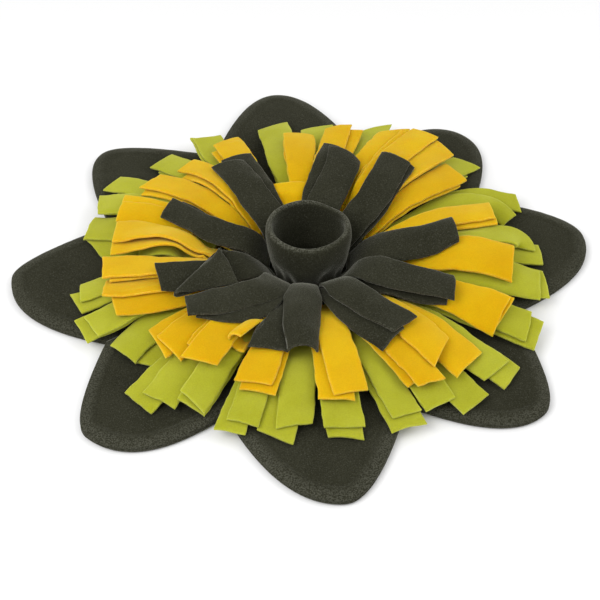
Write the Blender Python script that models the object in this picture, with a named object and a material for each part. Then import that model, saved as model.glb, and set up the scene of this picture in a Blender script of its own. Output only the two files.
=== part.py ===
"""Flower-shaped fleece snuffle mat, lying flat.

A round padded middle with eight padded petals sewn round it, three rings of
folded fleece tufts (green, yellow, dark) and a gathered fleece cup in the centre.
Metres, +Z up. The origin is on the floor under the middle of the mat.
Azimuths are degrees, anticlockwise from +X about the middle of the rings.
"""
from collections import namedtuple
from math import atan2, cos, pi, radians, sin

import bmesh
import bpy
import numpy as np
from mathutils import Matrix, Vector

MM = 0.001

# Whole mat
RING_MIDDLE = (0.005, -0.003)      # the rings and the cup are sewn a little off the mat's middle
CLEARANCE = 0.0004                 # between pieces that touch
FOLD_ANGLE = 40                    # degrees; a sharper fold of a piece is shown as an edge

# Padded middle and petals
PAD_RADIUS = 0.118
PAD_THICK = 0.0075
PAD_ROUNDING = 0.0028
PAD_STEPS = 40
PETAL_CROWN = 0.0085               # top of a petal's filling
PETAL_SEAM_LOW = 0.0030            # the rim seam, between the two sheets
PETAL_SEAM_HIGH = 0.0046
PETAL_DRAW_IN = 0.016              # how far in from the rim the filling reaches its full height
PETAL_FLAT_FROM = 0.006            # how far in from the rim the underside meets the floor
PETAL_VALLEY = 0.0012              # dip of the top along the seam between two petals
PETAL_COLUMNS = 10
PETAL_ROWS = 5
PETAL_CROWDING = 1.6               # above 1, the rows lie closer together near the rim

# Petals in order round the mat. tip: azimuth and reach of the tip. round_left, round_right:
# breadth of the rounding on the tip's two sides. notch: azimuth and reach of the notch
# between this petal and the next. Degrees and mm.
Petal = namedtuple("Petal", "tip reach round_left round_right notch notch_reach")
PETALS = [
    Petal(11, 248, 31, 51, 33, 181),
    Petal(54, 248, 39, 43, 73, 176),
    Petal(97, 267, 32, 39, 118, 186),
    Petal(139, 257, 32, 24, 161, 186),
    Petal(182, 254, 56, 22, 208, 187),
    Petal(228, 255, 56, 21, 249, 180),
    Petal(276, 256, 24, 48, 296, 175),
    Petal(318, 247, 24, 44, 343, 179),
]

# Fleece tufts: two layers of one strip, folded and sewn down at the fold
FLEECE = 0.0023
LAYER_GAP = 0.0006                 # least height left free under a layer
BAND_FOOT = PAD_THICK + CLEARANCE
LOWER_ROOT = 0.0104                # underside of each layer where it leaves the sewn fold
UPPER_ROOT = 0.0150
BAND_TOP = 0.0187
ROOT_GAP = 0.0024                  # between neighbouring tufts at their roots
ROOT_WIDTH = 0.9                   # share of its cut width that a tuft keeps at its root
ROOT_LENGTH = 0.004                # from its root, a layer is held up by the sewn fold for this far
FULL_WIDTH_AT = 0.38               # share of the length from which a tuft has its full width
FREE_LENGTH = 0.030                # neighbours stand side by side for this far from their roots
SWAY_DELAY = 1.8                   # above 1, a tuft leaves its root straight and sways later
SECTIONS = 7                       # steps along a layer
PROBES = 10                        # points to a section, and lines of them across a layer, where
PROBE_LANES = 9                    # a layer feels what lies below it
COVER = 14                         # the same, where a layer covers the ground
COVER_LANES = 30
GROUND_HALF = 0.30                 # half side and cell of the grid that holds what lies below
GROUND_CELL = 0.00125
SWEEPS = 40                        # rounds of raising a layer clear of what lies below
SMOOTH_SWEEPS = 6                  # how many of them also bridge its dips
STIFFNESS = 0.35

# root: azimuth where the tuft is sewn. tip, reach: where its upper layer ends.
# low_tip, low_reach: the same for its lower layer. width: of the cut strip. bow: how far its
# middle swings round from the straight way. skew: turn of the cut end. lift: how much higher
# the tip stands. tilt: how much higher the tip's left edge is than its right. Degrees and mm.
Tuft = namedtuple("Tuft", "root tip reach low_tip low_reach width bow skew lift tilt")
GREEN = [
    Tuft(1, 4, 192, 4.5, 202, 28, 0, 0, 0, 0),
    Tuft(14, 12, 194, 15, 186, 25, 2, 0, 5, 6),
    Tuft(28, 24, 195, 27, 208, 33, 3, 0, 1, 0),
    Tuft(43, 44, 200, 44.5, 210, 29, 0, 0, 0, 0),
    Tuft(57, 57, 186, 57, 193, 29, 0, 0, 0, 0),
    Tuft(70, 70, 196, 71, 210, 30, 0, 14, 0, 0),
    Tuft(84, 86, 192, 87, 202, 29, 0, 10, 0, 0),
    Tuft(98, 99, 196, 99, 205, 30, 0, 12, 1, 0),
    Tuft(112, 119, 199, 118, 208, 32, 0, -12, 0, 0),
    Tuft(126, 133, 193, 132, 202, 29, 0, 0, 0, 0),
    Tuft(140, 148, 203, 147.5, 210, 27, 0, 0, 0, 0),
    Tuft(152, 157, 199, 156, 208, 29, 0, 15, 0, 0),
    Tuft(164, 165, 196, 171, 191, 31, 0, 15, 0, 0),
    Tuft(177, 179, 132, 179, 170, 24, -4, 0, 8, 0),
    Tuft(189, 190, 198, 194, 201, 28, 0, 4, 2, 0),
    Tuft(201, 201, 194, 203, 204, 34, 2, 0, 3, 0),
    Tuft(215, 215, 184, 222, 175, 30, 3, 4, 7, 0),
    Tuft(229, 233, 199, 231, 209, 34, -1, 0, 2, 0),
    Tuft(241, 240, 186, 240.5, 192, 28, 1, -4, 6, 0),
    Tuft(254, 254.5, 193, 253, 202, 30, 0, 0, 2, 0),
    Tuft(267, 266, 190, 262.5, 200, 31, 1, 4, 3, 0),
    Tuft(279, 278, 191, 278.5, 200, 31, -1, 0, 1, 0),
    Tuft(292, 294, 192, 292, 202, 30, -2, 0, 1, 0),
    Tuft(306, 303, 196, 308, 210, 28, 0, 0, 1, 0),
    Tuft(320, 321, 198, 320, 209, 30, 0, 0, 1, 0),
    Tuft(334, 336, 197, 335, 206, 33, 0, 0, 1, 0),
    Tuft(348, 352, 196, 353, 204, 34, -1, 0, 1, 0),
]
YELLOW = [
    Tuft(18, 18, 169, 14, 170, 28, 2, 0, 0, 0),
    Tuft(32, 39, 166, 41, 172, 30, -2, 0, 0, 0),
    Tuft(44, 49, 184, 50, 179, 28, -1, -3, 1, 0),
    Tuft(57, 57, 188, 59, 183, 28, 0, -3, 0, 0),
    Tuft(70, 66, 184, 68, 178, 26, 0, 0, 2, 0),
    Tuft(83, 79, 176, 76, 173, 28, 0, 8, 0, 0),
    Tuft(96, 93, 164, 94, 159, 29, 0, 0, 1, 0),
    Tuft(109, 100, 98, 106, 148, 30, 0, 0, 0, 0),
    Tuft(122, 116, 169, 117, 164, 30, 0, 6, 1, 0),
    Tuft(136, 133, 160, 134, 153, 30, 2, -3, 1, 0),
    Tuft(150, 147, 166, 149, 161, 30, 3, 0, 1, 0),
    Tuft(164, 161, 173, 163, 168, 30, 0, 5, 1, 0),
    Tuft(178, 172, 168, 179, 165, 31, 3, 4, 1, 0),
    Tuft(191, 188, 174, 189, 168, 32, 0, 0, 1, 0),
    Tuft(205, 196, 175, 203, 173, 30, 3, 0, 1, 0),
    Tuft(219, 227, 167, 223, 171, 33, -2, -8, 1, 0),
    Tuft(232, 238, 165, 236, 158, 27, -3, 5, 3, 0),
    Tuft(246, 246, 130, 245, 140, 24, 0, 0, 5, -3),
    Tuft(259, 255, 165, 257, 171, 30, 0, 3, 1, 0),
    Tuft(279, 281.5, 172, 277, 176, 28, 0, 0, 2, 0),
    Tuft(295, 300.5, 183, 299, 176, 30, -4, -3, 2, 0),
    Tuft(311, 310, 163, 312.5, 186, 34, 0, 5, 0, 0),
    Tuft(326, 331, 179, 336, 177, 40, -2, 0, 1, 0),
    Tuft(344, 353, 173, 357, 175, 40, -3, 0, 1, 0),
]
DARK = [
    Tuft(358, 6, 128, 5, 121, 37, -1, 3, 1, 0),
    Tuft(40, 54, 132, 53, 126, 34, -1, -8, 1, 0),
    Tuft(78, 78, 129, 77, 122, 38, 0, -14, 1, 0),
    Tuft(128, 121, 134, 120, 127, 40, 0, 14, 1, 0),
    Tuft(174, 160, 127, 161, 120, 36, 1, 4, 1, 5),
    Tuft(208, 209, 125, 201, 131, 36, 0, 6, 5, 0),
    Tuft(237, 221, 128, 237, 119, 38, 2, 8, 3, 3),
    Tuft(266, 268, 132, 254, 131, 31, -1, 0, 2, 0),
    Tuft(296, 302, 132, 301, 124, 38, 0, 20, 2, 0),
    Tuft(323, 332, 134, 331, 126, 35, -2, 10, 4, 6),
]

# Each ring: fleece, inner and outer radius of its sewn fold, height of the tips and of the
# hump between root and tip, how many tufts are sewn in one length of fold, and its rows
Ring = namedtuple("Ring", "name fleece inner outer tip_height hump tufts_a_length rows")
RINGS = [
    Ring("green", "fleece_green", 0.0800, 0.0850, 0.0100, 0.0080, 3, GREEN),
    Ring("yellow", "fleece_yellow", 0.0540, 0.0590, 0.0250, 0.0105, 4, YELLOW),
    Ring("dark", "fleece_dark", 0.0310, 0.0360, 0.0360, 0.0115, 2, DARK),
]
HUMP_SKEW = 0.75                   # below 1, the hump lies nearer the root

# Gathered cup: (radius, height) down the outside from the folded rim, then up the inside
CUP_STEPS = 26
CUP_FOOT = PAD_THICK + CLEARANCE
CUP_OUTSIDE = [(0.0336, 0.0560), (0.0348, 0.0530), (0.0345, 0.0460), (0.0325, 0.0370),
               (0.0290, 0.0260), (0.0262, 0.0160), (0.0256, CUP_FOOT)]
CUP_INSIDE = [(0.0212, CUP_FOOT), (0.0216, 0.0160), (0.0245, 0.0260), (0.0278, 0.0370),
              (0.0292, 0.0460), (0.0292, 0.0530), (0.0306, 0.0563)]
# Dents of the rim: azimuth, half breadth (degrees), push inward and drop at the rim (mm)
Dent = namedtuple("Dent", "azimuth breadth inward drop")
CUP_DENTS = [Dent(310, 40, 2.0, 1.5), Dent(55, 45, 1.0, 2.0), Dent(180, 60, -0.8, -1.0)]

FLEECE_COLOURS = {
    "fleece_dark": (0.045, 0.046, 0.036, 1.0),
    "fleece_yellow": (0.80, 0.47, 0.02, 1.0),
    "fleece_green": (0.42, 0.47, 0.045, 1.0),
}


def clear_scene():
    """Take away every object that the file opened with."""
    for old in list(bpy.data.objects):
        bpy.data.objects.remove(old, do_unlink=True)


def make_fleece(name):
    """A matt fleece of one colour."""
    fleece = bpy.data.materials.new(name)
    fleece.use_nodes = True
    shader = fleece.node_tree.nodes["Principled BSDF"]
    shader.inputs["Base Color"].default_value = FLEECE_COLOURS[name]
    shader.inputs["Roughness"].default_value = 0.95
    shader.inputs["Metallic"].default_value = 0.0
    return fleece


def add_piece(name, bm, fleece, smooth=True):
    """Close a bmesh into a named object of the mat's collection."""
    bmesh.ops.recalc_face_normals(bm, faces=bm.faces)
    mesh = bpy.data.meshes.new(name)
    bm.to_mesh(mesh)
    bm.free()
    mesh.materials.append(bpy.data.materials[fleece])
    if smooth:
        mesh.shade_smooth()
        mesh.set_sharp_from_angle(angle=radians(FOLD_ANGLE))
    piece = bpy.data.objects.new(name, mesh)
    bpy.data.collections["snuffle_mat"].objects.link(piece)
    return piece


def polar(azimuth, radius):
    """Plan point at an azimuth (degrees) and radius about the middle of the rings."""
    turn = np.radians(azimuth)
    return np.stack([RING_MIDDLE[0] + radius * np.cos(turn),
                     RING_MIDDLE[1] + radius * np.sin(turn)], axis=-1)


def spin_profile(bm, profile, steps):
    """Turn a closed profile of (radius, height) once round the middle of the rings."""
    middle = Vector((*RING_MIDDLE, 0))
    corners = [bm.verts.new(middle + Vector((radius, 0, height))) for radius, height in profile]
    edges = [bm.edges.new((corners[i - 1], corners[i])) for i in range(len(corners))]
    bmesh.ops.spin(bm, geom=corners + edges, cent=middle, axis=(0, 0, 1),
                   angle=2 * pi, steps=steps, use_merge=True)
    bmesh.ops.remove_doubles(bm, verts=bm.verts, dist=0.00001)


# Padded middle and petals

def build_pad():
    """The round middle: flat below, flat above, its rim drawn in to a rounded edge."""
    bm = bmesh.new()
    middle = Matrix.Translation((*RING_MIDDLE, PAD_THICK / 2))
    bmesh.ops.create_cone(bm, cap_ends=True, segments=PAD_STEPS, radius1=PAD_RADIUS,
                          radius2=PAD_RADIUS, depth=PAD_THICK, matrix=middle)
    rims = [edge for edge in bm.edges if abs(edge.verts[0].co.z - edge.verts[1].co.z) < 1e-6]
    bmesh.ops.bevel(bm, geom=rims, offset=PAD_ROUNDING, segments=2, affect="EDGES", profile=0.5)
    add_piece("base_pad", bm, "fleece_dark")


def bezier(start, control, end, along):
    """Points of a quadratic curve at the given fractions."""
    along = along[:, None]
    return (1 - along) ** 2 * start + 2 * along * (1 - along) * control + along ** 2 * end


def petal_outline(petal, right_notch, right_reach, fractions):
    """Outer edge of a petal from its right notch over the tip to its left notch."""
    half_gap = CLEARANCE / 2
    reach = petal.reach * MM
    tip = polar(petal.tip, reach)
    across = np.array([-sin(radians(petal.tip)), cos(radians(petal.tip))])
    left = polar(petal.notch - np.degrees(half_gap / (petal.notch_reach * MM)),
                 petal.notch_reach * MM)
    right = polar(right_notch + np.degrees(half_gap / (right_reach * MM)), right_reach * MM)
    half = len(fractions) // 2
    rising = bezier(right, tip - across * petal.round_right * MM, tip, fractions[:half + 1] * 2)
    falling = bezier(left, tip + across * petal.round_left * MM, tip,
                     2 - fractions[half + 1:] * 2)
    return np.vstack([rising, falling])


def petal_inner_edge(petal, right_notch, fractions):
    """Edge of a petal along the rim of the round middle, from right to left."""
    radius = PAD_RADIUS + CLEARANCE
    trim = np.degrees(CLEARANCE / 2 / radius)
    start = right_notch + trim
    turn = (petal.notch - trim - start) % 360
    return polar(start + turn * fractions, radius)


def build_petal(number, petal, right):
    """One padded petal: two sheets sewn at the rim, crowned above and flat below."""
    columns = np.linspace(0, 1, PETAL_COLUMNS + 1)
    rows = 1 - (1 - np.linspace(0, 1, PETAL_ROWS + 1)) ** PETAL_CROWDING
    inner = petal_inner_edge(petal, right.notch, columns)
    outer = petal_outline(petal, right.notch, right.notch_reach, columns)
    plan = inner[None] + (outer - inner)[None] * rows[:, None, None]
    rim_distance = np.linalg.norm(plan - outer[None], axis=2)
    seam_distance = np.minimum(np.linalg.norm(plan - plan[:, :1], axis=2),
                               np.linalg.norm(plan - plan[:, -1:], axis=2))
    fill = 1 - np.clip(1 - rim_distance / PETAL_DRAW_IN, 0, 1) ** 2
    valley = PETAL_VALLEY * np.clip(1 - seam_distance / PETAL_DRAW_IN, 0, 1)
    top = PETAL_SEAM_HIGH + (PETAL_CROWN - PETAL_SEAM_HIGH) * fill - valley * fill
    bottom = PETAL_SEAM_LOW * np.clip(1 - rim_distance / PETAL_FLAT_FROM, 0, 1)

    bm = bmesh.new()
    bmesh.ops.create_grid(bm, x_segments=PETAL_COLUMNS, y_segments=PETAL_ROWS, size=0.5)
    lowered = bmesh.ops.extrude_face_region(bm, geom=bm.faces[:], use_keep_orig=True)["geom"]
    underside = {part for part in lowered if isinstance(part, bmesh.types.BMVert)}
    for vert in bm.verts:
        column = round((vert.co.x + 0.5) * PETAL_COLUMNS)
        row = round((vert.co.y + 0.5) * PETAL_ROWS)
        height = bottom if vert in underside else top
        vert.co = (*plan[row, column], height[row, column])
    add_piece(f"petal_{number}", bm, "fleece_dark")


# Tufts

class Ground:
    """Height of all that lies in place so far, on a square grid seen from above."""

    def __init__(self):
        cells = int(2 * GROUND_HALF / GROUND_CELL)
        self.height = np.full((cells, cells), PETAL_CROWN)
        self.near = self.height.copy()

    def cells_of(self, points):
        cells = ((points[..., :2] + GROUND_HALF) / GROUND_CELL).astype(int)
        return cells[..., 0], cells[..., 1]

    def look_round(self):
        """Note the highest cell in and next to each cell."""
        near = self.height.copy()
        for along in (-1, 0, 1):
            for across in (-1, 0, 1):
                near = np.maximum(near, np.roll(self.height, (along, across), (0, 1)))
        self.near = near

    def cover(self, points):
        """Raise the ground to these points."""
        np.maximum.at(self.height, self.cells_of(points), points[..., 2])
        self.look_round()

    def join(self, other):
        """Raise the ground to another ground."""
        np.maximum(self.height, other.height, out=self.height)
        self.look_round()

    def under(self, points):
        return self.near[self.cells_of(points)]


def dense(edges, per_step, lanes):
    """Points between the two edges of a strip: per_step rows a section, some lanes across."""
    count = len(edges)
    at = np.linspace(0, count - 1, (count - 1) * per_step + 1)
    low = np.minimum(at.astype(int), count - 2)
    part = (at - low)[:, None, None]
    rows = edges[low] * (1 - part) + edges[low + 1] * part
    across = np.linspace(0, 1, lanes)[None, :, None]
    return rows[:, :1] * (1 - across) + rows[:, 1:] * across


def strip_plan(ring, tuft, tip, reach, root_width):
    """Left and right edge points of a layer in plan, and the share of its length at each."""
    share = np.linspace(0, 1, SECTIONS + 1)
    sway = (tip - tuft.root + 180) % 360 - 180
    radius = ring.outer + (reach * MM - ring.outer) * share
    late = share ** SWAY_DELAY
    azimuth = tuft.root + sway * late + tuft.bow * 4 * late * (1 - share)
    centre = polar(azimuth, radius)
    along = np.gradient(centre, axis=0)
    along[0] = (cos(radians(tuft.root)), sin(radians(tuft.root)))
    heading = np.arctan2(along[:, 1], along[:, 0])
    heading[-1] += radians(tuft.skew)
    fullness = np.clip(share / FULL_WIDTH_AT, 0, 1)
    fullness = fullness * fullness * (3 - 2 * fullness)
    wedge = root_width * radius / ring.outer
    half = np.minimum(wedge, root_width + (tuft.width * MM - root_width) * fullness) / 2
    to_left = np.stack([-np.sin(heading), np.cos(heading)], axis=1) * half[:, None]
    return centre + to_left, centre - to_left, share


def natural_height(ring, share, root_height, tip_height):
    """A straight rise from root to tip, plus a hump that lies nearer the root."""
    return root_height + (tip_height - root_height) * share + ring.hump * np.sin(
        pi * share ** HUMP_SKEW)


def lay_strip(ring, tuft, tip, reach, root_width, root_height, below, beside):
    """Edge lines of a layer's underside, laid over what is there already.

    It starts at its natural height. Where it would sink into what lies below, the nearest
    sections rise, and it is smoothed in between, as stiff cloth bridges a step."""
    left, right, share = strip_plan(ring, tuft, tip, reach, root_width)
    tip_height = ring.tip_height + tuft.lift * MM
    height = natural_height(ring, share, root_height, tip_height)
    tilt = tuft.tilt * MM / 2 * share ** 2
    edges = np.stack([np.column_stack([left, height + tilt]),
                      np.column_stack([right, height - tilt])], axis=1)
    samples = dense(edges, PROBES, PROBE_LANES)
    half = PROBE_LANES // 2
    need = below.under(samples)
    run = np.linalg.norm(samples[:, half, :2] - samples[0, half, :2], axis=1)
    past_root = run > FREE_LENGTH
    need[past_root] = np.maximum(need, beside.under(samples))[past_root]
    need += LAYER_GAP
    need[run < ROOT_LENGTH] = 0
    for sweep in range(SWEEPS):
        if sweep < SMOOTH_SWEEPS:
            even = (edges[:-2, :, 2] + edges[2:, :, 2]) / 2
            edges[1:-1, :, 2] += STIFFNESS * np.maximum(even - edges[1:-1, :, 2], 0)
        short = np.maximum(need - dense(edges, PROBES, PROBE_LANES)[..., 2], 0)
        for side, part in ((0, slice(0, half + 1)), (1, slice(half, PROBE_LANES))):
            worst = short[:, part].max(axis=1)
            for section in range(1, SECTIONS + 1):
                span = slice((section - 1) * PROBES, (section + 1) * PROBES + 1)
                edges[section, side, 2] += worst[span].max(initial=0)
    return edges


def strip_sections(edges):
    """Four corners of each section: the underside edges, and the same moved up square to it."""
    centre = edges.mean(axis=1)
    along = np.gradient(centre, axis=0)
    across = edges[:, 0] - edges[:, 1]
    upward = np.cross(along, across)
    upward /= np.linalg.norm(upward, axis=1, keepdims=True)
    upward[0] = (0, 0, 1)
    return np.concatenate([edges, edges + FLEECE * upward[:, None]], axis=1)


def root_edges(ring, number):
    """Azimuths of a tuft's two edges where it is sewn, and its width there."""
    rows = ring.rows
    before = (rows[number].root - rows[number - 1].root) % 360
    after = (rows[(number + 1) % len(rows)].root - rows[number].root) % 360
    gap = np.degrees(ROOT_GAP / ring.outer)
    full = np.degrees(rows[number].width * MM * ROOT_WIDTH / ring.outer)
    turn = min(before, after, full + gap) - gap
    return rows[number].root - turn / 2, rows[number].root + turn / 2, radians(turn) * ring.outer


def band_start(ring, number):
    """Azimuth half way between a tuft's root and the one before it."""
    rows = ring.rows
    return rows[number].root - ((rows[number].root - rows[number - 1].root) % 360) / 2


def build_band(bm, ring, numbers):
    """The sewn fold that a length of tufts grows from, and each tuft's two outer faces."""
    trim = np.degrees(CLEARANCE / 2 / ring.inner)
    azimuths = [band_start(ring, numbers[0]) + trim]
    for number in numbers:
        right, left, _ = root_edges(ring, number)
        azimuths += [right, left]
    last = numbers[-1]
    half_way = ((ring.rows[(last + 1) % len(ring.rows)].root - ring.rows[last].root) % 360) / 2
    azimuths.append(ring.rows[last].root + half_way - trim)

    heights = [BAND_FOOT, LOWER_ROOT, LOWER_ROOT + FLEECE, UPPER_ROOT, UPPER_ROOT + FLEECE,
               BAND_TOP]
    profile = [(ring.inner, BAND_TOP), (ring.inner, BAND_FOOT)]
    profile += [(ring.outer, height) for height in heights]
    turned = Matrix.Rotation(radians(azimuths[0]), 3, "Z")
    middle = Vector((*RING_MIDDLE, 0))
    corners = [bm.verts.new(middle + turned @ Vector((radius, 0, height)))
               for radius, height in profile]
    edges = [bm.edges.new((corners[i - 1], corners[i])) for i in range(len(corners))]
    bmesh.ops.contextual_create(bm, geom=edges)
    columns = []
    for before, after in zip(azimuths, azimuths[1:]):
        grown = bmesh.ops.extrude_edge_only(bm, edges=edges)["geom"]
        edges = [part for part in grown if isinstance(part, bmesh.types.BMEdge)]
        verts = [part for part in grown if isinstance(part, bmesh.types.BMVert)]
        bmesh.ops.rotate(bm, verts=verts, cent=middle,
                         matrix=Matrix.Rotation(radians(after - before), 3, "Z"))
        columns.append([part for part in grown if isinstance(part, bmesh.types.BMFace)])
    bmesh.ops.contextual_create(bm, geom=edges)

    def face_at(column, height):
        """The face of a column's outer wall whose middle is at this height."""
        outer = [face for face in column
                 if all((vert.co - middle).xy.length > ring.outer - 1e-5 for vert in face.verts)]
        return min(outer, key=lambda face: abs(face.calc_center_median().z - height))

    roots = []
    for step, number in enumerate(numbers):
        column = columns[1 + 2 * step]
        roots.append((number, face_at(column, LOWER_ROOT + FLEECE / 2),
                      face_at(column, UPPER_ROOT + FLEECE / 2)))
    return roots


def grow_strip(bm, face, sections):
    """Extrude a root face through the sections of a layer."""
    sections = [[Vector(corner) for corner in section] for section in sections]
    order = [min(range(4), key=lambda at, v=vert: (sections[0][at] - v.co).length)
             for vert in face.verts]
    for section in sections[1:]:
        face = bmesh.ops.extrude_discrete_faces(bm, faces=[face])["faces"][0]
        for vert, corner in zip(face.verts, order):
            vert.co = section[corner]


def build_rings():
    """Lay every tuft from the outer ring inward, then build each length of sewn fold."""
    ground = Ground()
    for ring in RINGS:
        azimuth = np.arange(0, 360, 0.25)
        radius = np.arange(ring.inner, ring.outer, GROUND_CELL / 2)
        plan = polar(*np.meshgrid(azimuth, radius))
        ground.cover(np.concatenate([plan, np.full(plan.shape[:2] + (1,), BAND_TOP)], axis=2))
    for ring in RINGS:
        laid = lay_ring(ring, ground)
        for first in range(0, len(ring.rows), ring.tufts_a_length):
            numbers = list(range(first, min(first + ring.tufts_a_length, len(ring.rows))))
            bm = bmesh.new()
            for number, lower_face, upper_face in build_band(bm, ring, numbers):
                lower, upper = laid[number]
                grow_strip(bm, lower_face, strip_sections(lower))
                grow_strip(bm, upper_face, strip_sections(upper))
            length = first // ring.tufts_a_length + 1
            add_piece(f"fringe_{ring.name}_{length}", bm, ring.fleece, smooth=False)


def lay_ring(ring, ground):
    """Lower and upper layer of each tuft of a ring, every other tuft first."""
    laid = {}
    beside = Ground()
    count = len(ring.rows)
    for number in [*range(0, count, 2), *range(1, count, 2)]:
        tuft = ring.rows[number]
        width = root_edges(ring, number)[2]
        own = Ground()
        own.height = ground.height.copy()
        lower = lay_strip(ring, tuft, tuft.low_tip, tuft.low_reach, width, LOWER_ROOT,
                          ground, beside)
        own.cover(dense(strip_sections(lower)[:, 2:], COVER, COVER_LANES))
        upper = lay_strip(ring, tuft, tuft.tip, tuft.reach, width, UPPER_ROOT, own, beside)
        laid[number] = (lower, upper)
        for layer in laid[number]:
            beside.cover(dense(strip_sections(layer)[:, 2:], COVER, COVER_LANES))
    ground.join(beside)
    return laid


# Cup

def build_cup():
    """The fleece cup: gathered at its foot, bulging above, its rim folded over and dented."""
    bm = bmesh.new()
    spin_profile(bm, CUP_OUTSIDE + CUP_INSIDE, CUP_STEPS)
    rim_height = max(height for _, height in CUP_INSIDE)
    for vert in bm.verts:
        x = vert.co.x - RING_MIDDLE[0]
        y = vert.co.y - RING_MIDDLE[1]
        azimuth = np.degrees(atan2(y, x))
        rise = max((vert.co.z - CUP_FOOT) / (rim_height - CUP_FOOT), 0)
        for dent in CUP_DENTS:
            off = abs((azimuth - dent.azimuth + 180) % 360 - 180) / dent.breadth
            if off < 1:
                strength = cos(off * pi / 2) ** 2
                inward = dent.inward * MM * strength * rise
                vert.co.x -= inward * cos(radians(azimuth))
                vert.co.y -= inward * sin(radians(azimuth))
                vert.co.z -= dent.drop * MM * strength * rise ** 3
    add_piece("cup", bm, "fleece_dark")


def build_mat():
    clear_scene()
    mat = bpy.data.collections.new("snuffle_mat")
    bpy.context.scene.collection.children.link(mat)
    for name in FLEECE_COLOURS:
        make_fleece(name)
    build_pad()
    for number, petal in enumerate(PETALS):
        build_petal(number + 1, petal, PETALS[number - 1])
    build_rings()
    build_cup()


build_mat()
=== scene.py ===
# Flower-shaped fleece snuffle mat: padded petals, three rings of folded fleece tufts, a cup.
# Metres, +Z up. Azimuths are degrees, anticlockwise from +X about the middle of the rings.
from collections import namedtuple

import bpy
import numpy as np
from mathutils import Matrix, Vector


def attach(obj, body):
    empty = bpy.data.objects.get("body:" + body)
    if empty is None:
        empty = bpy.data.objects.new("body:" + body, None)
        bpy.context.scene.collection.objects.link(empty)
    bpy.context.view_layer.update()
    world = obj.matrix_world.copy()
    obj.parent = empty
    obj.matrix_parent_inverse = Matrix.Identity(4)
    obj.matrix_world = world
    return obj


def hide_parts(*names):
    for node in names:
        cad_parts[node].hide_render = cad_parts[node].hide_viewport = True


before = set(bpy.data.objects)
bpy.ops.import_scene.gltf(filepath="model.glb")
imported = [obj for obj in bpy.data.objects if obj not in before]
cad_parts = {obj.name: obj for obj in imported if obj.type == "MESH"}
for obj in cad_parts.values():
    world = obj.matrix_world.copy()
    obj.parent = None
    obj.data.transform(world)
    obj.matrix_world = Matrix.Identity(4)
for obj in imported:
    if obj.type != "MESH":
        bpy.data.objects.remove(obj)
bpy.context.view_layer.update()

mm = 0.001
ringMiddle = (0.005, -0.003)
padHeight = 0.0075
petalHeight = 0.0085

matCollection = bpy.data.collections.new("snuffleMat")
bpy.context.scene.collection.children.link(matCollection)


# Shared helpers

def polar(azimuth, radius):
    # plan points at these azimuths (degrees) and radii about the middle of the rings
    turn = np.radians(azimuth)
    return np.stack([ringMiddle[0] + radius * np.cos(turn),
                     ringMiddle[1] + radius * np.sin(turn)], -1)


def smoothStep(x, start=0.0, end=1.0):
    # 0 before start, 1 after end, and the cubic 3t^2 - 2t^3 between them
    t = np.clip((x - start) / (end - start), 0, 1)
    return t * t * (3 - 2 * t)


def bell(x, middle, width):
    # a bump of height 1: e to the power of minus ((x - middle) / width) squared
    return np.exp(-((x - middle) / width) ** 2)


def softNoise(points, size, seed):
    # random values between -1 and 1 at the corners of a lattice, blended by smooth steps
    scaled = np.asarray(points) / size + 17.3 * seed
    cell = np.floor(scaled).astype(np.int64)
    part = smoothStep(scaled - cell)
    total = np.zeros(scaled.shape[:-1])
    axes = scaled.shape[-1]
    for corner in range(2 ** axes):
        step = np.array([corner >> axis & 1 for axis in range(axes)])
        mixed = ((cell + step) * np.array([374761, 668265, 974634])[:axes]).sum(axis=-1)
        mixed = (mixed ^ (mixed >> 13)) * 1274126177 & 0xFFFFFFFF
        mixed = (mixed ^ (mixed >> 16)) * 668265263 & 0xFFFFFFFF
        total += np.where(step, part, 1 - part).prod(axis=-1) * (mixed / 0x7FFFFFFF - 1)
    return total


def gridFaces(at):
    # four-cornered faces of a grid, from the numbers of its points
    return np.stack([at[:-1, :-1], at[1:, :-1], at[1:, 1:], at[:-1, 1:]], -1).reshape(-1, 4)


def pointsAt(line, shares):
    # points at these shares of a line's length, 0 at its start and 1 at its end
    steps = np.linalg.norm(np.diff(line, axis=0), axis=1)
    run = np.concatenate([[0], np.cumsum(steps)])
    return np.stack([np.interp(shares * run[-1], run, line[:, axis])
                     for axis in range(line.shape[1])], -1)


def closedSheet(top, bottom):
    # two grids of the same size, joined round their rims
    rows, columns = top.shape[:2]
    at = np.arange(rows * columns).reshape(rows, columns)
    rim = np.concatenate([at[0, :-1], at[:-1, -1], at[-1, :0:-1], at[:0:-1, 0]])
    after = np.roll(rim, -1)
    wall = np.stack([rim, after, after + at.size, rim + at.size], -1)
    faces = np.concatenate([gridFaces(at), gridFaces(at + at.size)[:, ::-1], wall])
    return np.concatenate([top, bottom]).reshape(-1, 3), faces


def unit(vectors):
    return vectors / np.maximum(np.linalg.norm(vectors, axis=-1, keepdims=True), 1e-12)


def surfaceNormals(middle):
    # cross product of the steps along the rows and across the columns
    return unit(np.cross(np.gradient(middle, axis=0), np.gradient(middle, axis=1)))


def setInputs(node, values):
    for name, value in values.items():
        node.inputs[name].default_value = value


def addPiece(name, parts, material, nodes, paintedHighlight):
    # joins closed parts of (points, faces) in one mesh that stands for CAD nodes. A value on
    # each point, 0 to 1, is how much painted highlight shows there: a speckled pale colour
    first = np.cumsum([0] + [len(points) for points, faces in parts])
    points = np.concatenate([points for points, faces in parts])
    faces = np.concatenate([faces + start for start, (_, faces) in zip(first, parts)])
    mesh = bpy.data.meshes.new(name)
    mesh.from_pydata(points, [], faces)
    mesh.shade_smooth()
    mesh.attributes.new("paintedHighlight", "FLOAT", "POINT").data.foreach_set("value", np.ravel(paintedHighlight))
    mesh.materials.append(material)
    piece = bpy.data.objects.new(name, mesh)
    matCollection.objects.link(piece)
    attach(piece, "root")
    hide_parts(*nodes)
    return piece


# Fleece

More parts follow.
